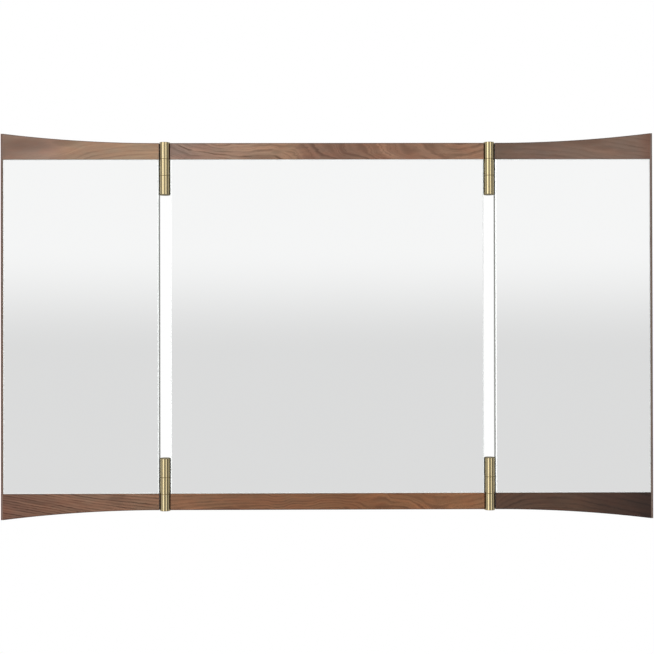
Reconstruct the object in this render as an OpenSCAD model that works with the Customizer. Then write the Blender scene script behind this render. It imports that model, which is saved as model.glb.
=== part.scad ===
// Three-panel vanity wall mirror: a fixed centre panel and two wings on brass barrel hinges.
//
// Frame: X runs to the viewer's right, Z is up, and the wall is the plane Y = 0 with the viewer on
// its -Y side. The origin is the middle of the wall cleat's screw line, on the wall.
// Wing pieces are drawn for the right wing, and hinge pieces for the upper right hinge. The
// others are their mirror images.

/* [Panels] */
// Width of the whole mirror, from wing edge to wing edge
overall_w = 1200; // [1000:10:1500]
// Width of the fixed centre panel
centre_w = 577; // [440:1:700]
// Height of the centre panel, and of each wing beside its hinges
panel_h = 675; // [560:1:900]
// How far each wing's top and bottom edges have curved outwards at its outer end
wing_flare = 18; // [6:1:30]
// Thickness of the backboards
board_t = 12; // [11:0.5:18]

/* [Wood] */
// Height of the rails on the centre panel and at the hinges
rail_h = 30; // [26:1:50]
// How far each board runs up into the rebate behind a rail
rail_lap = 12; // [10:0.5:14]
// Thickness of the strip that closes a wing's outer edge
lipping_t = 4; // [2:0.5:8]
// Thickness of the strips that cover the boards' edges beside the hinges
edge_strip_t = 3; // [1.5:0.5:5]
// Chamfer along the outer front edges of the rails
rail_arris = 1.4; // [0.4:0.1:2]
// Chamfer along the rails' front edges beside the glass
inner_arris = 0.5; // [0.2:0.1:1]

/* [Mirror glass] */
// Thickness of the glass
glass_t = 4; // [3:0.5:6]
// Width of the bevel round the front of the glass
bevel_w = 1.8; // [0.5:0.1:2.5]
// Depth of the bevel at the edge of the glass
bevel_depth = 0.6; // [0.3:0.1:1.5]
// How far the glass lies behind the face of the rails
glass_recess = 0.5; // [0.2:0.1:2]
// Gap between the glass and the wood round it
glass_gap = 0.3; // [0.2:0.1:1]
// How far the glass stops short of a panel's edge beside the hinges
glass_edge_inset = 0.4; // [0.2:0.1:2]
// Thickness of the foam tape behind the glass
tape_t = 1.5; // [1:0.25:3]
// Width of a strip of tape
tape_w = 30; // [15:1:50]
// Distance from the edge of a glass to its nearest tape
tape_margin = 50; // [45:1:70]

/* [Hinges] */
// Gap between the centre panel and a wing
hinge_gap = 21; // [19:0.5:26]
// Gap between a hinge barrel and the panel on each side
barrel_clear = 0.4; // [0.3:0.1:1.5]
// How far a barrel stands out past the rails
barrel_proud = 1.5; // [0.5:0.25:4]
// How far the barrels' axes lie in front of the middle of the panels' thickness
barrel_forward = 3; // [0:0.25:6.5]
// Length of the knuckle at the outer end of a barrel
knuckle_outer = 30.6; // [24:0.1:40]
// Length of the middle knuckle, which belongs to the wing
knuckle_middle = 30.2; // [24:0.1:40]
// Length of the knuckle at the inner end of a barrel
knuckle_inner = 35; // [24:0.1:45]
// Height of the groove between two knuckles
groove_h = 0.6; // [0.5:0.1:1.5]
// Depth of the groove, down to the washer's rim
groove_depth = 0.5; // [0.3:0.1:1.5]
// Chamfer round the outer end of a barrel
outer_end_arris = 0.4; // [0.2:0.1:1.5]
// Chamfer round the inner end of a barrel
inner_end_arris = 1.2; // [0.3:0.1:1.8]
// Chamfer round the knuckles' ends at a groove
groove_arris = 0.25; // [0.1:0.05:0.5]
// Diameter of the hinge pin
pin_d = 8; // [6:0.5:9]
// Wall of the friction sleeve between the pin and the middle knuckle
sleeve_wall = 1.8; // [1:0.1:2.2]
// Diameter of the plugs that close a barrel's ends
plug_d = 11; // [9:0.5:13]
// Thickness of the plugs
plug_t = 3; // [2:0.5:5]
// Thickness of the tongues that fix the hinges in the panels
tongue_t = 3; // [2:0.25:4]
// How deep a tongue reaches into its panel
tongue_depth = 38; // [32:1:44]
// Wood left between a tongue and the outer edge of a rail
tongue_cover = 5; // [4:0.5:7]
// How much shorter the wing's tongue is than the fixed tongue, at its inner end
tongue_step = 14; // [8:1:20]
// Distance between a knuckle's end and its neck on the tongue
neck_inset = 2; // [1:0.5:4]

/* [Hanging cleat] */
// Distance from the centre panel's top edge down to the wall screws
cleat_drop = 122.5; // [110:0.5:200]
// Gap between the wall and the panels' backs
standoff = 8; // [8:0.5:12]
// Length of the cleat fixed to the wall
wall_cleat_l = 440; // [430:5:500]
// Length of the cleat fixed to the centre panel's board
panel_cleat_l = 400; // [360:5:500]
// Thickness of the cleats' metal
cleat_t = 2.5; // [2:0.1:2.6]
// Height of the flat of each cleat that is screwed down
cleat_flat_h = 24; // [20:1:36]
// Height by which the two cleats hook behind each other
cleat_hook_h = 11; // [8:0.5:16]
// Play between the hooked flanges
cleat_play = 0.3; // [0.1:0.05:0.5]
// Distance between the outer pair of wall screw holes
wall_hole_pitch_outer = 400; // [380:1:420]
// Distance between the inner pair of wall screw holes
wall_hole_pitch_inner = 160; // [100:1:240]
// Diameter of the wall screw holes
wall_hole_d = 5.5; // [4:0.1:7]
// Diameter of the rubber bumpers
bumper_d = 16; // [10:1:24]
// Distance from a panel's edges to the middle of its bumpers
bumper_margin = 32; // [24:1:50]

/* [Fasteners] */
// Diameter of the wood screws' shanks
wood_screw_d = 3.5; // [3:0.1:4]
// Diameter of the countersunk heads on the wood screws
wood_head_d = 7; // [6:0.1:8]
// Length of the wood screws, over the head
wood_screw_l = 16; // [14.5:0.5:16.5]
// Distance from a panel's corner to the first screw of its board
board_screw_margin = 70; // [60:1:90]
// Distance from a wing's outer edge to the last screw of its board
wing_screw_margin = 35; // [25:1:60]
// Number of screws along each rail of the centre panel
centre_rail_screws = 5; // [3:1:7]
// Number of screws along each rail of a wing
wing_rail_screws = 3; // [2:1:4]
// Number of screws in the panel's cleat
cleat_screws = 5; // [3:1:7]
// Distance from the ends of the panel's cleat to its first and last screws
cleat_screw_margin = 20; // [12:1:40]
// Diameter of the machine screws in the hinge tongues
tongue_screw_d = 4; // [3:0.5:4.5]
// Diameter of the machine screws' countersunk heads
tongue_head_d = 7.6; // [7:0.1:8.4]
// Distance from a tongue's ends to its screws
tongue_screw_edge = 6; // [5:0.5:7]
// Distance from a panel's edge to the first of each row of tongue screws
tongue_screw_first = 12; // [9:0.5:14]
// Distance between the two screws of a row
tongue_screw_pitch = 16; // [12:0.5:18]

/* [Fits] */
// Clearance round pieces that are glued, pressed or screwed in place
seat_clear = 0.02; // [0.01:0.01:0.05]
// Radial clearance of the pin in the sleeve, and of the washers on the pin
run_clear = 0.05; // [0.03:0.01:0.1]
// Clearance round a tongue in its slot, and round screws in their holes
slot_clear = 0.1; // [0.05:0.05:0.3]
// Gap on each side of a washer in its groove
washer_play = 0.1; // [0.05:0.01:0.2]

/* [Hidden] */
$fn = 64;
// How far a cut runs past the surface that it opens
eps = 0.5;
// Facets of the circle that shapes the wings' long curve
curve_facets = 720;

// Colours
walnut_light = "#9d7e68";
walnut_mid = "#84604c";
walnut_grey = "#6f5a4d";
walnut_dark = "#4e3f36";
strip_grey = "#8b8b88";
board_black = "#26221f";
silver = "#d9dcdc";
brass = "#c9ad6b";
bronze = "#8a6a45";
steel = "#9aa0a6";
cleat_metal = "#b9bdc1";
rubber = "#2c2c2c";
foam = "#e8e6df";
nylon = "#f1efe6";

// Places across the thickness: the wall is at 0 and the viewer's side is negative
panel_t = board_t + tape_t + glass_t + glass_recess;
back_y = -standoff;
board_front_y = back_y - board_t;
glass_back_y = board_front_y - tape_t;
glass_front_y = glass_back_y - glass_t;
face_y = back_y - panel_t;
tongue_y = (back_y + face_y) / 2;
axis_y = tongue_y - barrel_forward;

// Places along X, for the right half
centre_edge_x = centre_w / 2;
axis_x = centre_edge_x + hinge_gap / 2;
wing_edge_x = centre_edge_x + hinge_gap;
outer_x = overall_w / 2;
lipping_x = outer_x - lipping_t;

// Heights above the middle of the panels
half_h = panel_h / 2;
cleat_rise = half_h - cleat_drop;
opening_z = half_h - rail_h;
board_z = opening_z + rail_lap;
glass_z = opening_z - glass_gap;
wing_w = outer_x - wing_edge_x;
flare_r = (wing_w * wing_w + wing_flare * wing_flare) / (2 * wing_flare);
lipping_z = half_h + wing_rise(lipping_x);
blank_z = half_h + wing_flare;

// Hinge barrel, from its outer end downwards on an upper hinge
barrel_r = hinge_gap / 2 - barrel_clear;
pin_r = pin_d / 2;
sleeve_r = pin_r + run_clear + sleeve_wall;
plug_r = plug_d / 2;
washer_r = barrel_r - groove_depth;
barrel_top_z = half_h + barrel_proud;
outer_low_z = barrel_top_z - knuckle_outer;
middle_top_z = outer_low_z - groove_h;
middle_low_z = middle_top_z - knuckle_middle;
inner_top_z = middle_low_z - groove_h;
barrel_low_z = inner_top_z - knuckle_inner;
tongue_top_z = half_h - tongue_cover;
fixed_tongue_low_z = barrel_low_z + neck_inset;
wing_tongue_low_z = fixed_tongue_low_z + tongue_step;
tongue_edge_inset = 0.5;
tongue_screw_short = 0.5;
tongue_screw_l = panel_t / 2 + tongue_t / 2 - tongue_screw_short;

// Cleat heights above the wall screws, and its places across the gap
cleat_jog_low_z = cleat_flat_h / 2;
cleat_jog_top_z = cleat_jog_low_z + cleat_t;
cleat_seat_z = cleat_jog_top_z + cleat_hook_h;
cleat_hook_back_y = -cleat_t - 2 * cleat_play;
hook_tip_gap = 1.5;
cleat_screw_z = cleat_seat_z + cleat_t + cleat_flat_h / 2;

// Heads of the screws, and the rubber bumpers' rounding
pan_head_d = wood_head_d;
pan_head_t = 2;
pan_head_round = 1;
recess_w = 0.9;
recess_depth = 1.1;
recess_reach = 0.55;
bumper_round = 1;

// How far the wings' top edge has risen above the centre panel's, at a place on the right wing
function wing_rise(x) = flare_r - sqrt(flare_r * flare_r - pow(x - wing_edge_x, 2));

// Evenly spaced places from first to last
function spread(first, last, count) = [for (i = [0 : count - 1]) first + (last - first) * i / (count - 1)];

// Moves a piece drawn about the middle of the panels to its place below the wall screws
module hung() {
    translate([0, 0, -cleat_rise]) children();
}

// A box from its lowest to its highest corner, in any order
module span(a, b) {
    low = [min(a.x, b.x), min(a.y, b.y), min(a.z, b.z)];
    high = [max(a.x, b.x), max(a.y, b.y), max(a.z, b.z)];
    translate(low) cube(high - low);
}

// A piece of one section along X, with the section drawn in Y and Z
module along_x(from, to) {
    translate([from, 0, 0])
        rotate([90, 0, 90])
            linear_extrude(height = to - from) children();
}

// A round hole or rod along Y, from one depth to another
module rod_y(x, z, r, from_y, to_y) {
    translate([x, max(from_y, to_y), z])
        rotate([90, 0, 0]) cylinder(h = abs(to_y - from_y), r = r);
}

// Screws

// A countersunk screw whose head is flush with the panels' backs, pointing to the front
module countersunk(x, z, shank_r, head_r, length) {
    head_h = head_r - shank_r;
    tip_h = shank_r;
    tip_r = shank_r / 4;
    translate([x, back_y, z]) rotate([90, 0, 0]) {
        difference() {
            union() {
                cylinder(h = head_h, r1 = head_r, r2 = shank_r);
                cylinder(h = length - tip_h, r = shank_r);
                translate([0, 0, length - tip_h]) cylinder(h = tip_h, r1 = shank_r, r2 = tip_r);
            }
            cross_recess(head_r);
        }
    }
}

// The cross in a screw's head, cut downwards from its top face
module cross_recess(head_r) {
    reach = head_r * recess_reach;
    for (turn = [0, 90]) rotate([0, 0, turn])
        translate([-reach, -recess_w / 2, -eps]) cube([2 * reach, recess_w, eps + recess_depth]);
}

// The hole for a countersunk screw, clear of it all round
module countersunk_hole(x, z, shank_r, head_r, length) {
    hole_r = shank_r + slot_clear;
    head_h = head_r - shank_r;
    translate([x, back_y, z]) rotate([90, 0, 0]) {
        cylinder(h = length + slot_clear, r = hole_r);
        cylinder(h = head_h, r1 = head_r + slot_clear, r2 = hole_r);
    }
}

board_screw_z = (opening_z + board_z) / 2;
centre_screw_reach = centre_edge_x - board_screw_margin;
centre_screw_xs = spread(-centre_screw_reach, centre_screw_reach, centre_rail_screws);
wing_screw_xs = spread(wing_edge_x + board_screw_margin, outer_x - wing_screw_margin, wing_rail_screws);
cleat_screw_reach = panel_cleat_l / 2 - cleat_screw_margin;
cleat_screw_xs = spread(-cleat_screw_reach, cleat_screw_reach, cleat_screws);

module board_screw_holes(xs) {
    for (x = xs) for (side = [-1, 1])
        countersunk_hole(x, side * board_screw_z, wood_screw_d / 2, wood_head_d / 2, wood_screw_l);
}

module board_screws(xs) {
    for (x = xs) for (side = [-1, 1])
        countersunk(x, side * board_screw_z, wood_screw_d / 2, wood_head_d / 2, wood_screw_l);
}

// Places of the four machine screws in a hinge tongue, on the upper right hinge.
// The side is -1 in the centre panel and 1 in the wing.
function tongue_screw_places(side, edge_x, low_z) = [
    for (along = [tongue_screw_first, tongue_screw_first + tongue_screw_pitch])
        for (z = [tongue_top_z - tongue_screw_edge, low_z + tongue_screw_edge])
            [edge_x + side * along, z]
];
fixed_screw_places = tongue_screw_places(-1, centre_edge_x, fixed_tongue_low_z);
wing_screw_places = tongue_screw_places(1, wing_edge_x, wing_tongue_low_z);

module tongue_screw_holes(places) {
    for (p = places)
        countersunk_hole(p.x, p.y, tongue_screw_d / 2, tongue_head_d / 2, tongue_screw_l);
}

module tongue_screws(places) {
    for (p = places)
        countersunk(p.x, p.y, tongue_screw_d / 2, tongue_head_d / 2, tongue_screw_l);
}

// Slots for the hinge tongues, with their screw holes, in the upper and the lower half of a panel

module tongue_slot(side, edge_x, low_z) {
    span([edge_x - side * eps, tongue_y - tongue_t / 2 - slot_clear, low_z - slot_clear],
         [edge_x + side * (tongue_depth + slot_clear), tongue_y + tongue_t / 2 + slot_clear,
          tongue_top_z + slot_clear]);
}

module wing_hinge_cuts() {
    for (flip = [0, 1]) mirror([0, 0, flip]) {
        tongue_slot(1, wing_edge_x, wing_tongue_low_z);
        tongue_screw_holes(wing_screw_places);
    }
}

module centre_hinge_cuts() {
    for (side = [0, 1]) mirror([side, 0, 0]) for (flip = [0, 1]) mirror([0, 0, flip]) {
        tongue_slot(-1, centre_edge_x, fixed_tongue_low_z);
        tongue_screw_holes(fixed_screw_places);
    }
}

// Pieces that the centre panel and the wings share

// Section of a top rail, in Y and Z: full thickness above, and a lip in front of the board below
module rail_section(top_z, top_arris) {
    polygon([
        [face_y + inner_arris, opening_z],
        [board_front_y, opening_z],
        [board_front_y, board_z + slot_clear],
        [back_y, board_z + slot_clear],
        [back_y, top_z],
        [face_y + top_arris, top_z],
        [face_y, top_z - top_arris],
        [face_y, opening_z + inner_arris]
    ]);
}

// A glass with a bevel all round its front
module glass(from_x, to_x) {
    hung() color(silver) intersection() {
        along_x(from_x, to_x) glass_section(-glass_z, glass_z);
        translate([0, 0, -glass_z]) linear_extrude(height = 2 * glass_z) mirror([1, -1, 0])
            glass_section(from_x, to_x);
    }
}

// Section of a glass across its thickness, from one edge to the other
module glass_section(low, high) {
    polygon([
        [glass_back_y, low],
        [glass_back_y, high],
        [glass_front_y + bevel_depth, high],
        [glass_front_y, high - bevel_w],
        [glass_front_y, low + bevel_w],
        [glass_front_y + bevel_depth, low]
    ]);
}

// An edge strip behind the glass: as tall as the board, and packed out to the glass between the rails
module edge_strip(side, edge_x) {
    inner_x = edge_x + side * edge_strip_t;
    span([edge_x, back_y, -board_z], [inner_x, board_front_y, board_z]);
    span([edge_x, board_front_y, -glass_z], [inner_x, glass_back_y, glass_z]);
}

module tape_strips(middles) {
    hung() color(foam) for (x = middles)
        span([x - tape_w / 2, board_front_y, -glass_z + tape_margin],
             [x + tape_w / 2, glass_back_y, glass_z - tape_margin]);
}

// A tapered rubber foot between a panel's back and the wall
module bumper(x, z) {
    translate([x, back_y, z]) rotate([-90, 0, 0]) rotate_extrude() polygon([
        [0, 0],
        [bumper_d / 2, 0],
        [bumper_d / 2 - bumper_round, standoff - bumper_round],
        [bumper_d / 2 - 2 * bumper_round, standoff],
        [0, standoff]
    ]);
}

// Centre panel

module center_backboard() {
    hung() color(board_black) difference() {
        span([-centre_edge_x + edge_strip_t, back_y, -board_z],
             [centre_edge_x - edge_strip_t, board_front_y, board_z]);
        board_screw_holes(centre_screw_xs);
        centre_hinge_cuts();
        for (x = cleat_screw_xs)
            rod_y(x, cleat_rise + cleat_screw_z, wood_screw_d / 2 + slot_clear,
                  back_y + eps, cleat_screw_tip_y - slot_clear);
    }
}

module centre_rail() {
    difference() {
        along_x(-centre_edge_x, centre_edge_x) rail_section(half_h, rail_arris);
        board_screw_holes(centre_screw_xs);
        centre_hinge_cuts();
    }
}

module center_top_rail() {
    hung() color(walnut_mid) centre_rail();
}

module center_bottom_rail() {
    hung() color(walnut_mid) mirror([0, 0, 1]) centre_rail();
}

module center_right_edge_strip() {
    hung() color(strip_grey) difference() {
        edge_strip(-1, centre_edge_x);
        centre_hinge_cuts();
    }
}

module center_left_edge_strip() {
    mirror([1, 0, 0]) center_right_edge_strip();
}

module center_mirror() {
    glass(-centre_edge_x + glass_edge_inset, centre_edge_x - glass_edge_inset);
}

module center_mirror_tape() {
    reach = centre_edge_x - tape_margin - tape_w / 2;
    tape_strips([-reach, -reach / 3, reach / 3, reach]);
}

module center_board_screws() {
    hung() color(steel) board_screws(centre_screw_xs);
}

module center_bumpers() {
    hung() color(rubber) for (side = [-1, 1])
        bumper(side * (centre_edge_x - bumper_margin), -board_z + bumper_margin);
}

// Hanging cleat

cleat_screw_tip_y = back_y + cleat_t - wood_screw_l + wood_head_d / 2;

// Screwed to the wall: a flat below, and a flange above that stands off the wall
module wall_cleat() {
    color(cleat_metal) difference() {
        along_x(-wall_cleat_l / 2, wall_cleat_l / 2) polygon([
            [0, -cleat_flat_h / 2],
            [0, cleat_jog_top_z],
            [cleat_hook_back_y, cleat_jog_top_z],
            [cleat_hook_back_y, cleat_seat_z],
            [cleat_hook_back_y - cleat_t, cleat_seat_z],
            [cleat_hook_back_y - cleat_t, cleat_jog_low_z],
            [-cleat_t, cleat_jog_low_z],
            [-cleat_t, -cleat_flat_h / 2]
        ]);
        for (pitch = [wall_hole_pitch_outer, wall_hole_pitch_inner]) for (side = [-1, 1])
            rod_y(side * pitch / 2, 0, wall_hole_d / 2, eps, -cleat_t - eps);
    }
}

// Screwed to the centre board: a flat above, and a flange below that drops behind the wall's
module panel_cleat() {
    hook_front_y = -cleat_play - cleat_t;
    color(cleat_metal) difference() {
        along_x(-panel_cleat_l / 2, panel_cleat_l / 2) polygon([
            [-cleat_play, cleat_jog_top_z + hook_tip_gap],
            [-cleat_play, cleat_seat_z + cleat_t],
            [back_y + cleat_t, cleat_seat_z + cleat_t],
            [back_y + cleat_t, cleat_seat_z + cleat_t + cleat_flat_h],
            [back_y, cleat_seat_z + cleat_t + cleat_flat_h],
            [back_y, cleat_seat_z],
            [hook_front_y, cleat_seat_z],
            [hook_front_y, cleat_jog_top_z + hook_tip_gap]
        ]);
        for (x = cleat_screw_xs)
            rod_y(x, cleat_screw_z, wood_screw_d / 2 + slot_clear, back_y - eps, back_y + cleat_t + eps);
    }
}

module panel_cleat_screws() {
    color(steel) for (x = cleat_screw_xs)
        translate([x, back_y + cleat_t, cleat_screw_z]) rotate([90, 0, 0]) difference() {
            union() {
                translate([0, 0, -pan_head_t / 2]) cylinder(h = pan_head_t / 2, r = pan_head_d / 2);
                translate([0, 0, -pan_head_t])
                    cylinder(h = pan_head_t / 2, r1 = pan_head_d / 2 - pan_head_round, r2 = pan_head_d / 2);
                cylinder(h = back_y + cleat_t - cleat_screw_tip_y, r = wood_screw_d / 2);
            }
            translate([0, 0, -pan_head_t]) cross_recess(pan_head_d / 2 - pan_head_round);
        }
}

// Wings

module wing_backboard() {
    hung() color(board_black) difference() {
        span([wing_edge_x + edge_strip_t, back_y, -board_z], [lipping_x, board_front_y, board_z]);
        board_screw_holes(wing_screw_xs);
        wing_hinge_cuts();
    }
}

// The rail's outer edge is one arc, level at the hinge and rising towards the lipping
module wing_rail() {
    arris_cut = rail_arris + eps;
    difference() {
        along_x(wing_edge_x, lipping_x) rail_section(blank_z + eps, 0);
        translate([wing_edge_x, 0, half_h + flare_r]) rotate([90, 0, 0]) {
            cylinder(h = -face_y + eps, r = flare_r, $fn = curve_facets);
            translate([0, 0, -face_y - rail_arris])
                cylinder(h = arris_cut, r1 = flare_r, r2 = flare_r + arris_cut, $fn = curve_facets);
        }
        board_screw_holes(wing_screw_xs);
        wing_hinge_cuts();
    }
}

// Closes the wing's outer edge over the board and the rails' ends, cut level at its own ends
module wing_outer_lipping() {
    hung() intersection() {
        along_x(lipping_x, outer_x) lipping_section(-lipping_z, lipping_z);
        translate([0, 0, -lipping_z]) linear_extrude(height = 2 * lipping_z) polygon([
            [lipping_x, back_y],
            [lipping_x, face_y],
            [outer_x - rail_arris, face_y],
            [outer_x, face_y + rail_arris],
            [outer_x, back_y]
        ]);
    }
}

module lipping_section(low, high) {
    polygon([
        [back_y, low],
        [back_y, high],
        [face_y + rail_arris, high],
        [face_y, high - rail_arris],
        [face_y, low + rail_arris],
        [face_y + rail_arris, low]
    ]);
}

module wing_edge_strip() {
    hung() color(strip_grey) difference() {
        edge_strip(1, wing_edge_x);
        wing_hinge_cuts();
    }
}

module wing_mirror() {
    glass(wing_edge_x + glass_edge_inset, lipping_x - glass_gap);
}

module wing_mirror_tape() {
    tape_strips([wing_edge_x + tape_margin + tape_w / 2, lipping_x - tape_margin - tape_w / 2]);
}

module wing_board_screws() {
    hung() color(steel) board_screws(wing_screw_xs);
}

module wing_bumpers() {
    hung() color(rubber) for (side = [-1, 1])
        bumper(lipping_x - bumper_margin, side * (board_z - bumper_margin));
}

module right_backboard() { wing_backboard(); }
module right_top_rail() { hung() color(walnut_grey) wing_rail(); }
module right_bottom_rail() { hung() color(walnut_dark) mirror([0, 0, 1]) wing_rail(); }
module right_outer_lipping() { color(walnut_grey) wing_outer_lipping(); }
module right_edge_strip() { wing_edge_strip(); }
module right_mirror() { wing_mirror(); }
module right_mirror_tape() { wing_mirror_tape(); }
module right_board_screws() { wing_board_screws(); }
module right_bumpers() { wing_bumpers(); }

module left_backboard() { mirror([1, 0, 0]) wing_backboard(); }
module left_top_rail() { hung() color(walnut_light) mirror([1, 0, 0]) wing_rail(); }
module left_bottom_rail() { hung() color(walnut_mid) mirror([1, 0, 0]) mirror([0, 0, 1]) wing_rail(); }
module left_outer_lipping() { color(walnut_grey) mirror([1, 0, 0]) wing_outer_lipping(); }
module left_edge_strip() { mirror([1, 0, 0]) wing_edge_strip(); }
module left_mirror() { mirror([1, 0, 0]) wing_mirror(); }
module left_mirror_tape() { mirror([1, 0, 0]) wing_mirror_tape(); }
module left_board_screws() { mirror([1, 0, 0]) wing_board_screws(); }
module left_bumpers() { mirror([1, 0, 0]) wing_bumpers(); }

// Hinges

// Puts a piece of the upper right hinge in one of the four corners
module hinge_corner(left, lower) {
    hung() mirror([left, 0, 0]) mirror([0, 0, lower]) children();
}

// A turned length of barrel, with a chamfer of its own at each end
module knuckle(low_z, high_z, low_arris, high_arris) {
    translate([axis_x, axis_y, 0]) rotate_extrude() polygon([
        [0, low_z],
        [barrel_r - low_arris, low_z],
        [barrel_r, low_z + low_arris],
        [barrel_r, high_z - high_arris],
        [barrel_r - high_arris, high_z],
        [0, high_z]
    ]);
}

// A rod on the hinge's axis
module axis_rod(r, low_z, high_z) {
    translate([axis_x, axis_y, low_z]) cylinder(h = high_z - low_z, r = r);
}

// The flat tongue in the panel's slot. The side is -1 in the centre panel and 1 in the wing.
module tongue(side, edge_x, low_z) {
    span([edge_x + side * tongue_edge_inset, tongue_y - tongue_t / 2, low_z],
         [edge_x + side * tongue_depth, tongue_y + tongue_t / 2, tongue_top_z]);
}

// The web that joins a knuckle to its tongue
module neck(side, edge_x, low_z, high_z) {
    span([axis_x, tongue_y - tongue_t / 2, low_z],
         [edge_x + side * 2 * tongue_edge_inset, tongue_y + tongue_t / 2, high_z]);
}

// Outer and inner knuckle on one tongue, fixed in the centre panel
module fixed_leaf() {
    color(brass) difference() {
        union() {
            knuckle(outer_low_z, barrel_top_z, groove_arris, outer_end_arris);
            knuckle(barrel_low_z, inner_top_z, inner_end_arris, groove_arris);
            tongue(-1, centre_edge_x, fixed_tongue_low_z);
            neck(-1, centre_edge_x, outer_low_z + neck_inset, tongue_top_z);
            neck(-1, centre_edge_x, fixed_tongue_low_z, inner_top_z - neck_inset);
        }
        axis_rod(pin_r + seat_clear, barrel_low_z - eps, barrel_top_z + eps);
        axis_rod(plug_r + seat_clear, barrel_top_z - plug_t, barrel_top_z + eps);
        axis_rod(plug_r + seat_clear, barrel_low_z - eps, barrel_low_z + plug_t);
        tongue_screw_holes(fixed_screw_places);
    }
}

// Middle knuckle on the wing's tongue
module wing_leaf() {
    color(brass) difference() {
        union() {
            knuckle(middle_low_z, middle_top_z, groove_arris, groove_arris);
            tongue(1, wing_edge_x, wing_tongue_low_z);
            neck(1, wing_edge_x, middle_low_z + neck_inset, middle_top_z - neck_inset);
        }
        axis_rod(sleeve_r + seat_clear, middle_low_z - eps, middle_top_z + eps);
        tongue_screw_holes(wing_screw_places);
    }
}

module hinge_pin() {
    color(steel) axis_rod(pin_r, barrel_low_z + plug_t, barrel_top_z - plug_t);
}

module friction_sleeve() {
    color(nylon) difference() {
        axis_rod(sleeve_r, middle_low_z, middle_top_z);
        axis_rod(pin_r + run_clear, middle_low_z - eps, middle_top_z + eps);
    }
}

module washers() {
    color(bronze) for (low_z = [middle_top_z, inner_top_z]) difference() {
        axis_rod(washer_r, low_z + washer_play, low_z + groove_h - washer_play);
        axis_rod(pin_r + run_clear, low_z - eps, low_z + groove_h + eps);
    }
}

// Discs that close the barrel over the pin's ends
module plugs() {
    color(brass) {
        axis_rod(plug_r, barrel_top_z - plug_t, barrel_top_z);
        axis_rod(plug_r, barrel_low_z, barrel_low_z + plug_t);
    }
}

module upper_left_fixed_leaf() { hinge_corner(1, 0) fixed_leaf(); }
module upper_left_wing_leaf() { hinge_corner(1, 0) wing_leaf(); }
module upper_left_pin() { hinge_corner(1, 0) hinge_pin(); }
module upper_left_sleeve() { hinge_corner(1, 0) friction_sleeve(); }
module upper_left_washers() { hinge_corner(1, 0) washers(); }
module upper_left_plugs() { hinge_corner(1, 0) plugs(); }

module lower_left_fixed_leaf() { hinge_corner(1, 1) fixed_leaf(); }
module lower_left_wing_leaf() { hinge_corner(1, 1) wing_leaf(); }
module lower_left_pin() { hinge_corner(1, 1) hinge_pin(); }
module lower_left_sleeve() { hinge_corner(1, 1) friction_sleeve(); }
module lower_left_washers() { hinge_corner(1, 1) washers(); }
module lower_left_plugs() { hinge_corner(1, 1) plugs(); }

module upper_right_fixed_leaf() { hinge_corner(0, 0) fixed_leaf(); }
module upper_right_wing_leaf() { hinge_corner(0, 0) wing_leaf(); }
module upper_right_pin() { hinge_corner(0, 0) hinge_pin(); }
module upper_right_sleeve() { hinge_corner(0, 0) friction_sleeve(); }
module upper_right_washers() { hinge_corner(0, 0) washers(); }
module upper_right_plugs() { hinge_corner(0, 0) plugs(); }

module lower_right_fixed_leaf() { hinge_corner(0, 1) fixed_leaf(); }
module lower_right_wing_leaf() { hinge_corner(0, 1) wing_leaf(); }
module lower_right_pin() { hinge_corner(0, 1) hinge_pin(); }
module lower_right_sleeve() { hinge_corner(0, 1) friction_sleeve(); }
module lower_right_washers() { hinge_corner(0, 1) washers(); }
module lower_right_plugs() { hinge_corner(0, 1) plugs(); }

module center_hinge_screws() {
    color(steel) for (left = [0, 1]) for (lower = [0, 1])
        hinge_corner(left, lower) tongue_screws(fixed_screw_places);
}

module wing_hinge_screws(left) {
    color(steel) for (lower = [0, 1])
        hinge_corner(left, lower) tongue_screws(wing_screw_places);
}

module left_hinge_screws() { wing_hinge_screws(1); }
module right_hinge_screws() { wing_hinge_screws(0); }

center_backboard();
center_top_rail();
center_bottom_rail();
center_left_edge_strip();
center_right_edge_strip();
center_mirror();
center_mirror_tape();
center_board_screws();
center_bumpers();
wall_cleat();
panel_cleat();
panel_cleat_screws();
left_backboard();
left_top_rail();
left_bottom_rail();
left_outer_lipping();
left_edge_strip();
left_mirror();
left_mirror_tape();
left_board_screws();
left_bumpers();
right_backboard();
right_top_rail();
right_bottom_rail();
right_outer_lipping();
right_edge_strip();
right_mirror();
right_mirror_tape();
right_board_screws();
right_bumpers();
upper_left_fixed_leaf();
upper_left_wing_leaf();
upper_left_pin();
upper_left_sleeve();
upper_left_washers();
upper_left_plugs();
lower_left_fixed_leaf();
lower_left_wing_leaf();
lower_left_pin();
lower_left_sleeve();
lower_left_washers();
lower_left_plugs();
upper_right_fixed_leaf();
upper_right_wing_leaf();
upper_right_pin();
upper_right_sleeve();
upper_right_washers();
upper_right_plugs();
lower_right_fixed_leaf();
lower_right_wing_leaf();
lower_right_pin();
lower_right_sleeve();
lower_right_washers();
lower_right_plugs();
center_hinge_screws();
left_hinge_screws();
right_hinge_screws();
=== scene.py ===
"""Looks of the three-panel vanity wall mirror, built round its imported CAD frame.

Lengths are metres and angles degrees. X runs to the viewer's right, the viewer is on the -Y side
and Z is up.
"""

import math

import bpy
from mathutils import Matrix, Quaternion, Vector


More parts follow.
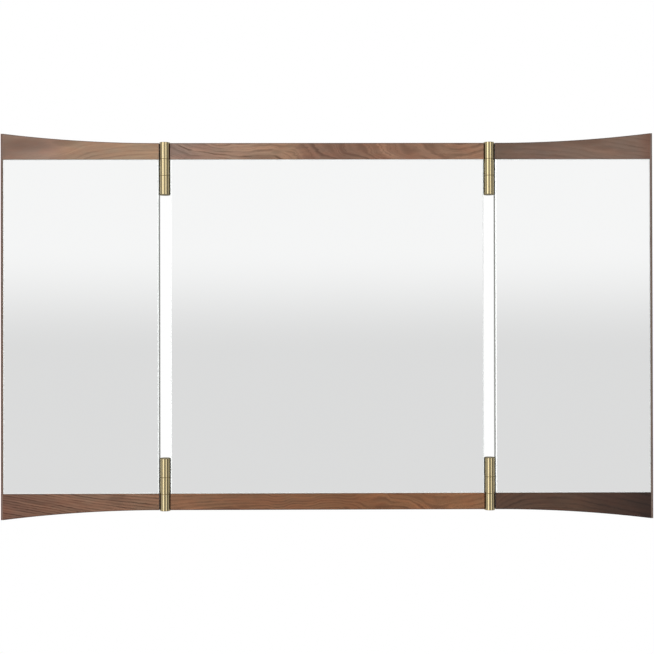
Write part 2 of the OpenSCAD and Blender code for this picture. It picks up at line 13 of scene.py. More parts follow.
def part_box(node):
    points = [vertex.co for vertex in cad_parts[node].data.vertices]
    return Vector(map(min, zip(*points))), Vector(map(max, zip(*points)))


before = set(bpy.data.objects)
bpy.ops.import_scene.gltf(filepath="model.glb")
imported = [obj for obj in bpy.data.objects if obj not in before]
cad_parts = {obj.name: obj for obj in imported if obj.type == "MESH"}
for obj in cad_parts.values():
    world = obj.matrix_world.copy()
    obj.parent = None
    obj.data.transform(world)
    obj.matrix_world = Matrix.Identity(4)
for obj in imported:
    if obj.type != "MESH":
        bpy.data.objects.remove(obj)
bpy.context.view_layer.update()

MM = 0.001
RAIL_LOW, RAIL_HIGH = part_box("center_top_rail")
FACE_Y = RAIL_LOW.y
PANEL_MIDDLE_Z = sum(corner.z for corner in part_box("center_mirror")) / 2
RAIL_MIDDLE = (RAIL_LOW.z + RAIL_HIGH.z) / 2 - PANEL_MIDDLE_Z
RAIL_HALF = (RAIL_HIGH.z - RAIL_LOW.z) / 2


# Colours and node helpers

# Noise seldom leaves this range, so a material's two ends are set at it
NOISE_LOW = 0.3
NOISE_HIGH = 0.7
SMALLEST_REACH = 0.001


def srgb(code):
    """The linear colour of a written one, such as "#a5866b"."""
    channels = [int(code[i : i + 2], 16) / 255 for i in (1, 3, 5)]
    linear = [c / 12.92 if c <= 0.04045 else ((c + 0.055) / 1.055) ** 2.4 for c in channels]
    return (*linear, 1.0)


class Nodes:
    """Short ways to add shader nodes to a tree. Each call returns the new node's output."""

    def __init__(self, tree):
        self.tree = tree

    def feed(self, socket, value):
        if isinstance(value, bpy.types.NodeSocket):
            self.tree.links.new(value, socket)
        else:
            socket.default_value = value

    def add(self, kind, inputs=None, output=0, **settings):
        node = self.tree.nodes.new("ShaderNode" + kind)
        for name, value in settings.items():
            setattr(node, name, value)
        for key, value in (inputs or {}).items():
            self.feed(node.inputs[key], value)
        return node.outputs[output]

    def math(self, operation, *values):
        return self.add("Math", dict(enumerate(values)), operation=operation)

    def mix(self, factor, a, b, blend="MIX"):
        return self.add("Mix", {0: factor, 6: a, 7: b}, output=2, data_type="RGBA", blend_type=blend)

    def blend(self, factor, a, b):
        """Mixes two numbers."""
        return self.add("Mix", {0: factor, 2: a, 3: b}, data_type="FLOAT")

    def span(self, value, from_low, from_high, to_low=0.0, to_high=1.0, interpolation="SMOOTHSTEP"):
        """Maps a number from one range to another, held at its ends."""
        ends = {"From Min": from_low, "From Max": from_high, "To Min": to_low, "To Max": to_high}
        return self.add("MapRange", {"Value": value, **ends}, interpolation_type=interpolation, clamp=True)

    def vary(self, noise, low, high, interpolation="SMOOTHSTEP"):
        """Spreads noise from one number to another."""
        return self.span(noise, NOISE_LOW, NOISE_HIGH, low, high, interpolation)

    def tint(self, noise, dark, light):
        """Spreads noise from one written colour to another."""
        return self.mix(self.vary(noise, 0.0, 1.0), srgb(dark), srgb(light))

    def ramp(self, value, stops):
        """A smooth colour ramp with (place, colour) stops."""
        output = self.add("ValToRGB", {0: value})
        ramp = output.node.color_ramp
        ramp.interpolation = "EASE"
        while len(ramp.elements) < len(stops):
            ramp.elements.new(0.5)
        for element, (place, colour) in zip(ramp.elements, stops):
            element.position = place
            element.color = colour
        return output

    def curve(self, value, points):
        """A smooth curve through (place, height) points, both from 0 to 1."""
        output = self.add("FloatCurve", {"Factor": 1.0, "Value": value})
        mapping = output.node.mapping
        line = mapping.curves[0]
        line.points[0].location = points[0]
        line.points[-1].location = points[-1]
        for point in points[1:-1]:
            line.points.new(*point)
        mapping.update()
        return output

    def wander(self, value, points):
        """A number that follows (value, number) points smoothly, and is held past their ends."""
        if len(points) == 1:
            return points[0][1]
        first, last = points[0][0], points[-1][0]
        low, high = (pick(number for value, number in points) for pick in (min, max))
        reach = max(high - low, SMALLEST_REACH)
        shares = [((place - first) / (last - first), (number - low) / reach) for place, number in points]
        line = self.curve(self.span(value, first, last, interpolation="LINEAR"), shares)
        return self.math("MULTIPLY_ADD", line, reach, low)

    def split(self, vector):
        return [self.add("SeparateXYZ", {0: vector}, output=part) for part in range(3)]

    def vector(self, x, y, z):
        return self.add("CombineXYZ", {0: x, 1: y, 2: z})

    def noise(self, vector, scale=1.0, detail=2.0, roughness=0.5):
        sockets = {"Vector": vector, "Scale": scale, "Detail": detail, "Roughness": roughness}
        return self.add("TexNoise", sockets)

    def stretch(self, vector, scale):
        """The vector times a scale for each axis."""
        return self.add("VectorMath", {0: vector, 1: scale}, operation="MULTIPLY")


class Look(Nodes):
    """A material of one Principled shader. The constants are set on the shader's own sockets."""

    def __init__(self, name, **constants):
        self.material = bpy.data.materials.new(name)
        self.material.use_nodes = True
        super().__init__(self.material.node_tree)
        self.shader = self.tree.nodes["Principled BSDF"]
        for socket, value in constants.items():
            self.shader.inputs[socket.replace("_", " ")].default_value = value

    def place(self):
        """Where a point is on its piece, in metres of the frame at rest."""
        return self.add("TexCoord", output="Object")

    def facing(self):
        """The surface's own direction on its piece."""
        return self.add("TexCoord", output="Normal")

    def set(self, **sockets):
        for socket, value in sockets.items():
            self.feed(self.shader.inputs[socket.replace("_", " ")], value)

    def bump(self, height, depth, strength=1.0):
        """Relief of this height map, whose white stands this deep above its black."""
        relief = self.add("Bump", {"Strength": strength, "Distance": depth, "Height": height})
        self.set(Normal=relief)


# Dressing the frame's nodes

def dress(material, *names):
    for name in names:
        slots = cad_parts[name].data.materials
        slots.clear()
        slots.append(material)


# Walnut

RINGS_PER_DEPTH = 2.0
HAIRLINES_PER_RING = 3.3
# How weak the weakest dark line is, at a ring and between the rings
RING_LEAST = 0.45
HAIRLINE_LEAST = 0.2
# Length and width of streaks along the grain
FIBRE = (34 * MM, 0.55 * MM)
PORE = (3.2 * MM, 0.26 * MM)
CLOUD = (33 * MM, 11 * MM)
# Length and width of the rings' unevenness, and its reach in rings
WANDERINGS = ((62 * MM, 25 * MM, 0.16), (11 * MM, 3.1 * MM, 0.13))
# Cells to the metre and to the ring
BAND = (9, 0.55)
STREAK = (14, 4.5)
LAPSE = (22, 7.3)
# Spans for a dark line: places across a ring, and then how dark it is at them
LINE_RISE = (-0.45, -0.08)
LINE_FALL = (0.02, 0.20, 1.0, 0.0)
# Spans for noise: where it begins and ends to count, and then how much it does at each
LAPSE_DARK = (0.32, 0.62, 0.35, 1.0)
PORE_DARK = (0.61, 0.72)
BAND_DARK = (0.48, 0.26, 0.0, 0.6)
STREAK_DARK = (0.48, 0.28, 0.0, 0.55)
BAND_PALE = (0.50, 0.70)
STREAK_PALE = (0.55, 0.75, 0.0, 0.6)
TONE_DRIFT = (0.7, 1.3, -0.03, 0.03)
# How dark the wood and how rough its face is from fibre to fibre
FIBRE_SHADE = (0.16, -0.04)
FIBRE_ROUGHNESS = (0.54, 0.42)
PORE_SHADE = 0.5
GRAIN_DEPTH = 0.05 * MM
# Spans for the painted shade on the outer arris and for the end grain's own darker colour: how squarely a
# face points, and then how dark it is
ARRIS_SHADE_BEGINS = (0.4, 0.6)
ARRIS_SHADE_ENDS = (0.8, 0.9, 0.9, 0.0)
END_GRAIN = (0.8, 0.95, 0.0, 0.5)
SMUDGE_CORE = 0.2
DARK_WOOD = (0.38, 0.34, 0.325, 1.0)
PALE_WOOD = (1.24, 1.22, 1.19, 1.0)
REDDER = (1.05, 0.985, 0.96, 1.0)
GREENER = (0.955, 1.01, 1.03, 1.0)


class Walnut(Look):
    """Oiled walnut on a rail or on an upright piece, whose figure is drawn by counting growth rings.

    Shares run from 0 to 1 along the piece. Rise is the height over the middle of a rail's face, in
    halves of it.
    """

    def __init__(self, name, piece, upright, seed):
        super().__init__(name, Specular_IOR_Level=0.2)
        self.upright = upright
        self.seed = seed
        low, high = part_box(piece)
        x, self.depth, z = self.split(self.place())
        if upright:
            self.along, self.across = z, x
            self.outward = math.copysign(1, low.x)
            ends = low.z, high.z
            middle = (low.x + high.x) / 2
        else:
            self.along, self.across = x, z
            self.outward = math.copysign(1, low.z - PANEL_MIDDLE_Z)
            ends = low.x, high.x
            middle = PANEL_MIDDLE_Z + self.outward * RAIL_MIDDLE
        self.share = self.span(self.along, *ends, interpolation="LINEAR")
        self.rise = self.math("DIVIDE", self.math("SUBTRACT", self.across, middle), RAIL_HALF)

    def drawn(self, length, width, **settings):
        """Noise in streaks of this length and width along the grain."""
        shape = [self.math("DIVIDE", self.along, length)]
        shape += [self.math("DIVIDE", place, width) for place in (self.across, self.depth)]
        return self.noise(self.vector(*shape), **settings)

    def along_rings(self, ring, per_metre, per_ring):
        """Noise that follows the rings, with so many cells to the metre and to the ring."""
        shape = self.math("MULTIPLY", self.along, per_metre), self.math("MULTIPLY", ring, per_ring)
        return self.noise(self.vector(*shape, self.seed), detail=3)

    def count_rings(self, rings, crossed, bow):
        """How many rings lie between the piece's start and each point."""
        ring = self.wander(self.share, rings)
        ring = self.math("MULTIPLY_ADD", self.wander(self.share, crossed), self.rise, ring)
        low = self.math("MINIMUM", self.rise, 0.0)
        ring = self.math("MULTIPLY_ADD", self.wander(self.share, bow), self.math("POWER", low, 2), ring)
        sunk = self.math("DIVIDE", self.math("SUBTRACT", self.depth, FACE_Y), RAIL_HALF)
        ring = self.math("MULTIPLY_ADD", sunk, RINGS_PER_DEPTH, ring)
        for length, width, reach in WANDERINGS:
            shift = self.span(self.drawn(length, width), 0.2, 0.8, -reach, reach, "LINEAR")
            ring = self.math("ADD", ring, shift)
        return ring

    def late_wood(self, ring, least):
        """Dark lines at whole counts, which come and go along their length. None is under the least."""
        nearest = self.math("FLOOR", self.math("ADD", ring, 0.5))
        offset = self.math("SUBTRACT", ring, nearest)
        line = self.math("MULTIPLY", self.span(offset, *LINE_RISE), self.span(offset, *LINE_FALL))
        lot = self.add("TexWhiteNoise", {"W": self.math("ADD", nearest, self.seed)}, noise_dimensions="1D")
        lapse = self.along_rings(nearest, *LAPSE)
        line = self.math("MULTIPLY", line, self.span(lapse, *LAPSE_DARK))
        return self.math("MULTIPLY", line, self.span(lot, 0.0, 1.0, least, 1.0, "LINEAR"))

    def smudge(self, share, rise, length, height, strength):
        """A dark cloud in the wood. Its length is a share of the piece and its height is in rises."""
        off = self.vector(
            self.math("DIVIDE", self.math("SUBTRACT", self.share, share), length),
            self.math("DIVIDE", self.math("SUBTRACT", self.rise, rise), height),
            0.0,
        )
        reach = self.add("VectorMath", {0: off}, output="Value", operation="LENGTH")
        return self.span(reach, SMUDGE_CORE, 1.0, strength, 0.0)

    def arris_shade_and_end_grain(self):
        """How far the outer arris is darkened as painted shade, and the end grain as its own darker
        colour.
        """
        across, end = (0, 2) if self.upright else (2, 0)
        facing = self.split(self.facing())
        outward = self.math("MULTIPLY", facing[across], self.outward)
        arris = self.math("MULTIPLY", self.span(outward, *ARRIS_SHADE_BEGINS), self.span(outward, *ARRIS_SHADE_ENDS))
        end_grain = self.span(self.math("ABSOLUTE", facing[end]), *END_GRAIN)
        return self.math("MAXIMUM", arris, end_grain)


def walnut(name, piece, tones, rings, crossed, bow=((0, 0),), strength=((0, 1),), smudges=(),
           figure=1.0, fine=0.5, upright=False, seed=0.0):
    """Dresses a piece in walnut.

    tones are (share, colour), rings are (share, rings since the start), crossed are (share, rings to a
    rise of 1) and bow are (share, rings that a rise of -1 bends by). strength is (ring, how dark its
    line is). smudges are (share, rise, length, height, strength), figure is how strongly the whole
    figure shows, and fine is the part that the lines between the rings have in it.
    """
    wood = Walnut(name, piece, upright, seed)
    ring = wood.count_rings(rings, crossed, bow)
    line = wood.math("MULTIPLY", wood.late_wood(ring, RING_LEAST), wood.wander(ring, strength))
    hair = wood.math("MULTIPLY", ring, HAIRLINES_PER_RING)
    hairline = wood.math("MULTIPLY", wood.late_wood(hair, HAIRLINE_LEAST), fine)
    band = wood.along_rings(ring, *BAND)
    streak = wood.along_rings(ring, *STREAK)
    cloud = wood.drawn(*CLOUD, detail=3)
    fibre = wood.drawn(*FIBRE, detail=4, roughness=0.6)
    pore = wood.span(wood.drawn(*PORE, detail=1), *PORE_DARK)

    drift = wood.span(wood.math("ADD", cloud, band), *TONE_DRIFT, "LINEAR")
    stops = [(share, srgb(tone)) for share, tone in tones]
    colour = wood.ramp(wood.math("ADD", wood.share, drift), stops)
    hue = wood.mix(wood.vary(cloud, 0.0, 1.0), REDDER, GREENER)
    colour = wood.mix(1.0, colour, hue, blend="MULTIPLY")
    dark = wood.mix(1.0, colour, DARK_WOOD, blend="MULTIPLY")
    pale = wood.mix(1.0, colour, PALE_WOOD, blend="MULTIPLY")

    glow = wood.math("MAXIMUM", wood.span(band, *BAND_PALE), wood.span(streak, *STREAK_PALE))
    shade = wood.math("MAXIMUM", line, hairline)
    shade = wood.math("MAXIMUM", shade, wood.span(band, *BAND_DARK))
    shade = wood.math("MAXIMUM", shade, wood.span(streak, *STREAK_DARK))
    shade = wood.math("MULTIPLY", shade, figure)
    for smudge in smudges:
        shade = wood.math("MAXIMUM", shade, wood.smudge(*smudge))
    shade = wood.math("ADD", shade, wood.vary(fibre, *FIBRE_SHADE, "LINEAR"))
    shade = wood.math("MAXIMUM", shade, wood.math("MULTIPLY", pore, PORE_SHADE))
    colour = wood.mix(wood.math("MULTIPLY", glow, figure), colour, pale)
    colour = wood.mix(shade, colour, dark)
    # Painted shade along the outer arris, and the end grain's own darker colour
    colour = wood.mix(wood.arris_shade_and_end_grain(), colour, dark)

    wood.set(Base_Color=colour, Roughness=wood.vary(fibre, *FIBRE_ROUGHNESS))
    relief = wood.math("SUBTRACT", wood.math("MULTIPLY", fibre, 0.5), pore)
    wood.bump(relief, GRAIN_DEPTH, strength=0.5)
    dress(wood.material, piece)


# Other materials

def brass():
    """Aged brass, drawn along the barrels, lightly polished and lacquered."""
    look = Look("brass", Metallic=1.0, Coat_Weight=1.0, Coat_Roughness=0.07, Coat_IOR=1.75)
    place = look.place()
    draw = look.noise(look.stretch(place, (1500, 1500, 9)), detail=3)
    haze = look.noise(place, scale=90, detail=4)
    tone = look.tint(draw, "#8a7a4e", "#96865a")
    tone = look.mix(look.span(haze, 0.5, 0.8, 0.0, 0.35), tone, srgb("#7c6c44"))
    rough = look.math("ADD", look.vary(draw, 0.10, 0.15), look.span(haze, 0.4, 0.8, 0.0, 0.04))
    look.set(Base_Color=tone, Roughness=rough)
    look.bump(draw, 0.01 * MM, strength=0.15)
    return look.material


def shaded_brass_ends():
    """The barrels' ends, left as they were turned, and darkened as painted shade that stands in for the
    dark reflection the ends show.
    """
    look = Look("shaded_brass_ends", Metallic=0.5, Specular_IOR_Level=0.2)
    end_mottle = look.noise(look.place(), scale=420, detail=4)
    # Both tones are dark as painted shade, and the noise adds a mottle to them
    look.set(
        Base_Color=look.tint(end_mottle, "#6d644b", "#8a7f5f"),
        Roughness=look.vary(end_mottle, 0.45, 0.6),
    )
    look.bump(end_mottle, 0.02 * MM, strength=0.3)
    return look.material


def silvered_glass():
    look = Look("silvered_glass", Metallic=1.0)
    film = look.noise(look.place(), scale=6, detail=4)
    look.set(
        Base_Color=look.mix(film, (0.945, 0.952, 0.950, 1.0), (0.958, 0.962, 0.962, 1.0)),
        Roughness=look.span(film, 0.4, 0.8, 0.0, 0.015),
    )
    return look.material


def bevelled_glass():
    """The bevel round the glass, whose satin grind catches the light."""
    look = Look("bevelled_glass", Metallic=0.2)
    grind = look.noise(look.place(), scale=140, detail=3)
    look.set(
        Base_Color=look.mix(grind, srgb("#eaeeed"), srgb("#f2f4f3")),
        Roughness=look.vary(grind, 0.28, 0.36),
    )
    return look.material


def glass_edge():
    """The greenish edge of the glass, behind the bevel. Its green tint is the glass's own, and its
    paleness is painted light that stands in for the light the glass carries to its edge.
    """
    look = Look("glass_edge", Metallic=0.5, IOR=1.52)
    grind = look.noise(look.place(), scale=300, detail=4)
    look.set(
        Base_Color=look.tint(grind, "#c3ccc7", "#d4dbd7"),
        Roughness=look.vary(grind, 0.14, 0.24),
    )
    return look.material


def back_paint():
    look = Look("back_paint")
    mottle = look.noise(look.place(), scale=120, detail=4)
    look.set(
        Base_Color=look.mix(mottle, srgb("#5c6063"), srgb("#6d7174")),
        Roughness=look.vary(mottle, 0.5, 0.62),
    )
    look.bump(mottle, 0.05 * MM, strength=0.4)
    return look.material


def stained_board():
    look = Look("stained_board")
    place = look.place()
    chips = look.noise(look.stretch(place, (90, 90, 700)), detail=5, roughness=0.65)
    fuzz = look.noise(place, scale=900, detail=2)
    look.set(
        Base_Color=look.tint(chips, "#211d1b", "#38322e"),
        Roughness=look.vary(fuzz, 0.55, 0.72),
    )
    look.bump(look.math("ADD", chips, look.math("MULTIPLY", fuzz, 0.4)), 0.12 * MM, strength=0.5)
    return look.material


def metal(name, dark, light, draw_scale, rough_low, rough_high):
    look = Look(name, Metallic=1.0)
    draw = look.noise(look.stretch(look.place(), draw_scale), detail=4)
    look.set(
        Base_Color=look.tint(draw, dark, light),
        Roughness=look.vary(draw, rough_low, rough_high),
    )
    look.bump(draw, 0.02 * MM, strength=0.3)
    return look.material


def painted_wood():
    """Grey paint on the strips that close the boards' edges, with some of the wood's grain in it."""
    look = Look("strip_paint")
    grain = look.noise(look.stretch(look.place(), (900, 900, 30)), detail=4)
    brushed = look.noise(look.place(), scale=70, detail=3)
    look.set(
        Base_Color=look.tint(brushed, "#7e7f7a", "#8a8a86"),
        Roughness=look.vary(grain, 0.38, 0.52),
    )
    look.bump(grain, 0.05 * MM, strength=0.4)
    return look.material


def moulded(name, dark, light, grain, rough_low, rough_high):
    look = Look(name)
    skin = look.noise(look.place(), scale=grain, detail=3)
    look.set(
        Base_Color=look.tint(skin, dark, light),
        Roughness=look.vary(skin, rough_low, rough_high),
    )
    look.bump(skin, 0.04 * MM, strength=0.4)
    return look.material


# Dressing the glass and the barrels

# How squarely a face points along an axis, from 0 to 1
EDGE_FACING = 0.5
FLAT_FACING = 0.99
END_FACING = 0.6


def dress_faces(name, materials, choose):
    """Gives each face of a node one of several materials, chosen from the face's direction."""
    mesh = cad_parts[name].data
    mesh.materials.clear()
    for material in materials:
        mesh.materials.append(material)
    for polygon in mesh.polygons:
        polygon.material_index = choose(polygon.normal)


def glass_side(normal):
    """0 on the silvered face, 1 on its bevel, 2 on the edges and 3 on the painted back."""
    if abs(normal.y) < EDGE_FACING:
        return 2
    if normal.y > 0:
        return 3
    return 0 if normal.y < -FLAT_FACING else 1


def barrel_side(normal):
    """0 round the barrel, and 1 on its ends and their chamfers."""
    return int(abs(normal.z) > END_FACING)


walnut(
    "walnut_top_center", "center_top_rail",
    tones=[(0.0, "#93796c"), (0.2, "#a2836e"), (0.39, "#a17f66"), (0.43, "#8b6855"), (0.55, "#836250"),
           (0.66, "#8a6651"), (0.7, "#946f59"), (1.0, "#957159")],
    rings=[(0.0, 1.2), (0.033, 2.0), (0.064, 2.74), (0.09, 3.08), (0.118, 3.44), (0.157, 4.07),
           (0.2, 4.12), (0.247, 4.11), (0.272, 3.88), (0.3, 3.8), (0.327, 3.82), (0.36, 4.28),
           (0.394, 4.55), (0.428, 5.05), (0.473, 6.04), (0.52, 6.95), (0.551, 8.0), (0.623, 8.93),
           (0.663, 10.0), (0.721, 11.0), (0.76, 11.9), (0.8, 12.2), (0.82, 12.7), (0.856, 13.3),
           (0.913, 13.7), (0.942, 13.54), (1.0, 12.7)],
    crossed=[(0.0, 1.2), (0.064, 1.7), (0.118, 2.2), (0.157, 2.7), (0.2, 2.0), (0.3, 1.6), (0.36, 1.3),
             (0.42, 0.5), (0.52, 0.5), (0.56, 0.2), (0.63, 0.4), (0.66, 0.2), (0.76, 0.4), (0.82, 0.6),
             (0.88, 0.8), (0.93, 1.4), (1.0, 1.2)],
    bow=[(0.0, 0.0), (0.45, 0.0), (0.55, -1.2), (0.68, -0.8), (0.8, -1.5), (0.88, 0.0), (1.0, 0.0)],
    strength=[(0, 0.45), (2.4, 0.6), (3, 1.2), (4, 1.4), (4.5, 0.6), (5, 0.7), (6, 0.8), (9, 0.6),
              (11, 0.5), (13, 0.8), (15, 0.9)],
    smudges=[(0.29, -0.75, 0.10, 0.6, 0.55), (0.34, -0.1, 0.03, 0.5, 0.4), (0.43, -0.4, 0.012, 0.7, 0.3),
             (0.12, 0.0, 0.05, 0.7, 0.2), (0.91, 0.5, 0.03, 0.4, 0.3)],
    fine=0.6,
)
walnut(
    "walnut_bottom_center", "center_bottom_rail",
    tones=[(0.0, "#8b6348"), (0.3, "#825a3f"), (0.6, "#805639"), (1.0, "#8c6142")],
    rings=[(0.0, 5.6), (0.19, 4.6), (0.255, 4.4), (0.3, 4.36), (0.335, 5.0), (0.375, 4.2), (0.4, 3.66),
           (0.43, 3.8), (0.478, 2.65), (0.52, 2.4), (0.56, 2.9), (0.6, 3.15), (0.635, 3.75),
           (0.68, 3.6), (0.703, 4.1), (0.745, 4.33), (0.776, 5.1), (0.8, 5.64), (0.856, 6.57),
           (0.9, 6.25), (0.946, 5.94), (1.0, 5.2)],
    crossed=[(0.0, 2.0), (0.3, 3.0), (0.55, 3.3), (0.6, 1.6), (0.68, 1.0), (0.71, 1.9), (0.75, 1.9),
             (0.8, 1.0), (0.87, 0.9), (0.9, 1.5), (1.0, 1.5)],
    smudges=[(0.19, -1.0, 0.08, 0.6, 0.75), (0.23, -0.6, 0.04, 0.4, 0.5), (0.56, -0.8, 0.02, 0.4, 0.5)],
    figure=0.75,
    fine=0.6,
    seed=3.0,
)
walnut(
    "walnut_top_left", "left_top_rail",
    tones=[(0.0, "#8b7060"), (0.28, "#9b7d6c"), (0.45, "#9e8069"), (1.0, "#a7896f")],
    rings=[(0.0, 6.6), (0.32, 5.2), (0.45, 4.4), (0.56, 3.3), (0.66, 2.65), (0.75, 2.1), (0.92, 1.7),
           (1.0, 1.6)],
    crossed=[(0.0, 1.0), (0.4, 1.2), (0.6, 2.0), (1.0, 2.0)],
    strength=[(0, 0.6), (3, 0.9), (4, 0.5), (7, 0.3)],
    smudges=[(0.17, 0.85, 0.30, 1.4, 0.5), (0.12, 0.5, 0.12, 0.9, 0.35), (0.38, 1.1, 0.16, 0.8, 0.45),
             (0.0, 0.2, 0.06, 1.6, 0.3)],
    figure=0.5,
    seed=5.0,
)
walnut(
    "walnut_bottom_left", "left_bottom_rail",
    tones=[(0.0, "#755242"), (0.3, "#7e5b48"), (0.65, "#896752"), (1.0, "#88664f")],
    rings=[(0.0, 0.0), (0.32, 3.6), (0.63, 6.8), (1.0, 8.8)],
    crossed=[(0.0, 3.3), (0.6, 3.0), (1.0, 2.4)],
    figure=1.2,
    fine=0.4,
    seed=7.0,
)
walnut(
    "walnut_top_right", "right_top_rail",
    tones=[(0.0, "#6b574a"), (0.3, "#786154"), (0.55, "#7e6556"), (0.9, "#7d6557"), (1.0, "#79594a")],
    rings=[(0.0, 1.5), (0.4, 2.0), (0.66, 3.5), (1.0, 5.5)],
    crossed=[(0.0, 1.6), (1.0, 2.0)],
    smudges=[(0.57, 1.1, 0.25, 0.9, 0.45), (0.70, 0.4, 0.14, 0.5, 0.3), (0.85, 0.0, 0.12, 0.4, 0.25),
             (0.3, 0.1, 0.08, 0.7, 0.2), (1.0, 1.6, 0.10, 1.6, 0.3)],
    figure=0.5,
    seed=9.0,
)
walnut(
    "walnut_bottom_right", "right_bottom_rail",
    tones=[(0.0, "#553d2f"), (0.45, "#543d2f"), (0.75, "#412d23"), (1.0, "#332119")],
    rings=[(0.0, 8.0), (0.13, 4.2), (0.28, 3.3), (0.42, 3.3), (0.66, 4.6), (1.0, 7.0)],
    crossed=[(0.0, 1.6), (1.0, 1.6)],
    figure=0.6,
    seed=11.0,
)
for side, tone in (("left", "#7b6558"), ("right", "#74645b")):
    walnut(
        f"walnut_{side}_lipping", f"{side}_outer_lipping",
        tones=[(0.0, tone), (1.0, tone)],
        rings=[(0.0, 2.0), (0.5, 3.0), (1.0, 2.0)],
        crossed=[(0.0, 1.6), (1.0, 1.8)],
        figure=0.4,
        upright=True,
        seed=13.0,
    )

mirror_sides = silvered_glass(), bevelled_glass(), glass_edge(), back_paint()
for panel in ("left", "center", "right"):
    dress_faces(f"{panel}_mirror", mirror_sides, glass_side)

hinge_brass = brass()
# The barrels' ends get brass darkened as painted shade
shaded_end_brass = shaded_brass_ends()
zinc_steel = metal("zinc_steel", "#8f9498", "#b4b9bd", (700, 700, 700), 0.28, 0.42)
ground_steel = metal("ground_steel", "#a3a7aa", "#c4c8cb", (2500, 2500, 30), 0.16, 0.26)
brushed_aluminium = metal("brushed_aluminium", "#a9adb0", "#c9cccf", (12, 1500, 1500), 0.30, 0.44)
tape_foam = moulded("tape_foam", "#d9d7cf", "#f0eee8", 900, 0.75, 0.9)
bumper_rubber = moulded("bumper_rubber", "#222222", "#343434", 500, 0.55, 0.75)
sleeve_nylon = moulded("sleeve_nylon", "#e6e3d8", "#f4f2ea", 260, 0.30, 0.45)
washer_bronze = metal("washer_bronze", "#7a6744", "#99835a", (700, 700, 700), 0.26, 0.36)
black_board = stained_board()
strip_paint = painted_wood()

for panel in ("left", "center", "right"):
    dress(black_board, f"{panel}_backboard")
    dress(tape_foam, f"{panel}_mirror_tape")
    dress(zinc_steel, f"{panel}_board_screws", f"{panel}_hinge_screws")
    dress(bumper_rubber, f"{panel}_bumpers")
for side in ("left", "right"):
    dress(strip_paint, f"{side}_edge_strip", f"center_{side}_edge_strip")
for height in ("upper", "lower"):
    for side in ("left", "right"):
        hinge = f"{height}_{side}"
        for piece in ("fixed_leaf", "wing_leaf", "plugs"):
            dress_faces(f"{hinge}_{piece}", (hinge_brass, shaded_end_brass), barrel_side)
        dress(ground_steel, f"{hinge}_pin")
        dress(sleeve_nylon, f"{hinge}_sleeve")
        dress(washer_bronze, f"{hinge}_washers")
dress(brushed_aluminium, "wall_cleat", "panel_cleat")
dress(zinc_steel, "panel_cleat_screws")


# Studio

# Levels of light, and the azimuths and elevations where one gives way to the next
SKY_TOP = 0.959
SKY_LOW = 0.744
FADE_LOW = -1.2
FADE_HIGH = 4.4
CEILING = 1.12
CEILING_START = 20.0
CEILING_FULL = 36.0
FRONT_HALF = 17.4
FRONT_EDGE = 3.0
ROOM_LEFT = 0.72
ROOM_RIGHT = 0.28
BACKDROP_START = 58.0
BACKDROP_FULL = 92.0
NADIR_START = -52.0
NADIR_FULL = -64.0
NADIR_LIGHT = 0.85
# The middle's azimuth, half of the width, and the level
SOFT_BOXES = ((-33.5, 13.5, 4.0), (30.5, 10.5, 3.2))
BOX_EDGE = 3.0
BOX_TOP = 26.0
BOX_BOTTOM = -15.0
BOX_FADE = 4.0
BOX_FOOT = 0.80
FOOT_REACH = 12.0
FLOOR_DROP = 1.3
FLOOR_RADIUS = 2.1
FLOOR_SIDES = 96
FLOOR_FADE_START = 0.45
FLOOR_FADE_END = 0.97
PALE_FLOOR = srgb("#e9e7e3")


def new_world():
    world = bpy.data.worlds.new("studio")
    bpy.context.scene.world = world
    world.use_nodes = True
    world.node_tree.nodes.clear()
    return world.node_tree


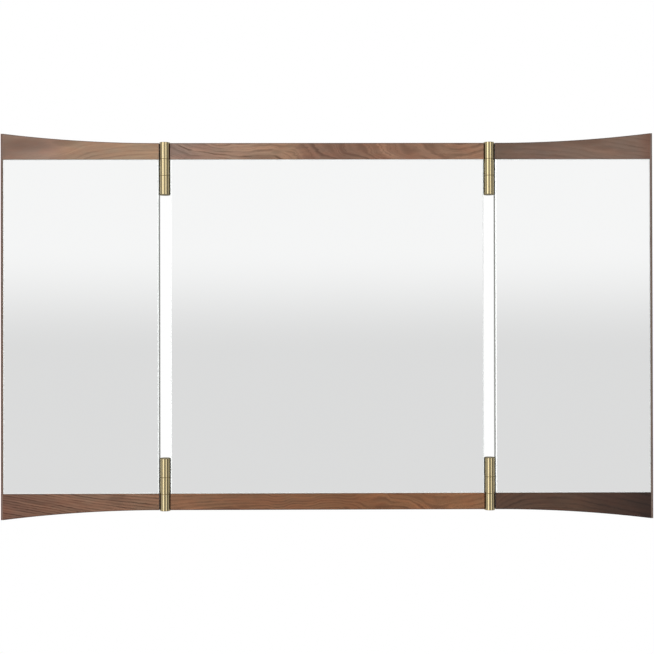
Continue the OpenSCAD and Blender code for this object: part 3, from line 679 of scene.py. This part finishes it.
def studio():
    """A pale room in front of the mirror with a soft box on each side, and a white backdrop behind it.

    Azimuths are degrees from the mirror's front towards +X. The camera sees white all round, and so do
    the mirror and the brass where they look behind themselves.
    """
    tree = new_world()
    room = Nodes(tree)
    x, y, z = room.split(room.add("TexCoord", output="Generated"))
    azimuth = room.math("DEGREES", room.math("ARCTAN2", x, room.math("MULTIPLY", y, -1.0)))
    turned = room.math("ABSOLUTE", azimuth)
    elevation = room.math("DEGREES", room.math("ARCSINE", z))

    front = room.span(elevation, FADE_LOW, FADE_HIGH, SKY_LOW, SKY_TOP)
    front = room.blend(room.span(elevation, CEILING_START, CEILING_FULL), front, CEILING)
    sides = room.span(azimuth, -FRONT_HALF, FRONT_HALF, ROOM_LEFT, ROOM_RIGHT)
    light = room.blend(room.span(turned, FRONT_HALF, FRONT_HALF + FRONT_EDGE), front, sides)
    foot = room.span(elevation, -FOOT_REACH, FOOT_REACH, BOX_FOOT, 1.0)
    above = room.span(elevation, BOX_BOTTOM - BOX_FADE, BOX_BOTTOM + BOX_FADE)
    below = room.span(elevation, BOX_TOP - BOX_FADE, BOX_TOP + BOX_FADE, 1.0, 0.0)
    tall = room.math("MULTIPLY", above, below)
    for middle, half, level in SOFT_BOXES:
        offset = room.math("ABSOLUTE", room.math("SUBTRACT", azimuth, middle))
        box = room.span(offset, half - BOX_EDGE, half, 1.0, 0.0)
        box = room.math("MULTIPLY", box, tall)
        light = room.blend(box, light, room.math("MULTIPLY", foot, level))
    behind = room.span(turned, BACKDROP_START, BACKDROP_FULL)
    light = room.blend(behind, light, 1.0)
    nadir = room.span(elevation, NADIR_START, NADIR_FULL, 1.0, NADIR_LIGHT)
    light = room.math("MULTIPLY", light, nadir)

    seen, glossy, passed = (room.add("LightPath", output=f"Is {kind} Ray")
                            for kind in ("Camera", "Glossy", "Transmission"))
    mirrored = room.math("MULTIPLY", room.math("MAXIMUM", glossy, passed), behind)
    light = room.blend(room.math("MAXIMUM", seen, mirrored), light, 1.0)
    shell = room.add("Background", {"Color": (1, 1, 1, 1), "Strength": light})
    tree.links.new(shell, tree.nodes.new("ShaderNodeOutputWorld").inputs["Surface"])


def floor():
    """A pale disc well below the mirror, whose rim fades into the backdrop."""
    mesh = bpy.data.meshes.new("floor")
    turns = [math.tau * side / FLOOR_SIDES for side in range(FLOOR_SIDES)]
    corners = [(FLOOR_RADIUS * math.cos(turn), FLOOR_RADIUS * math.sin(turn), 0.0) for turn in turns]
    mesh.from_pydata(corners, [], [range(FLOOR_SIDES)])
    disc = bpy.data.objects.new("floor", mesh)
    disc.location = (0.0, 0.0, PANEL_MIDDLE_Z - FLOOR_DROP)
    bpy.context.scene.collection.objects.link(disc)
    look = Look("floor", Roughness=0.8)
    place = look.place()
    mottle = look.noise(place, scale=3, detail=3)
    look.set(Base_Color=look.mix(mottle, PALE_FLOOR, srgb("#f1efec")))
    reach = look.add("VectorMath", {0: place}, output="Value", operation="LENGTH")
    fade = FLOOR_RADIUS * FLOOR_FADE_START, FLOOR_RADIUS * FLOOR_FADE_END
    look.set(Alpha=look.span(reach, *fade, 1.0, 0.0))
    mesh.materials.append(look.material)


studio()
floor()

CAMERA_PLACE = Vector((-0.0136, FACE_Y - 2.024, PANEL_MIDDLE_Z - 0.0098))
CAMERA_AIM = Vector((-0.0006, FACE_Y, PANEL_MIDDLE_Z - 0.0015))
CAMERA_ROLL = -0.115
CAMERA_LENS = 60.57
SENSOR_WIDTH = 36.0


def camera():
    """Level with the mirror and close to square on, with the roll that the photograph has."""
    data = bpy.data.cameras.new("camera")
    data.lens = CAMERA_LENS
    data.sensor_width = SENSOR_WIDTH
    viewer = bpy.data.objects.new("camera", data)
    bpy.context.scene.collection.objects.link(viewer)
    viewer.location = CAMERA_PLACE
    aim = (CAMERA_AIM - CAMERA_PLACE).to_track_quat("-Z", "Y")
    viewer.rotation_euler = (aim @ Quaternion((0, 0, 1), math.radians(CAMERA_ROLL))).to_euler()
    bpy.context.scene.camera = viewer


camera()
bpy.context.scene.view_settings.view_transform = "Standard"
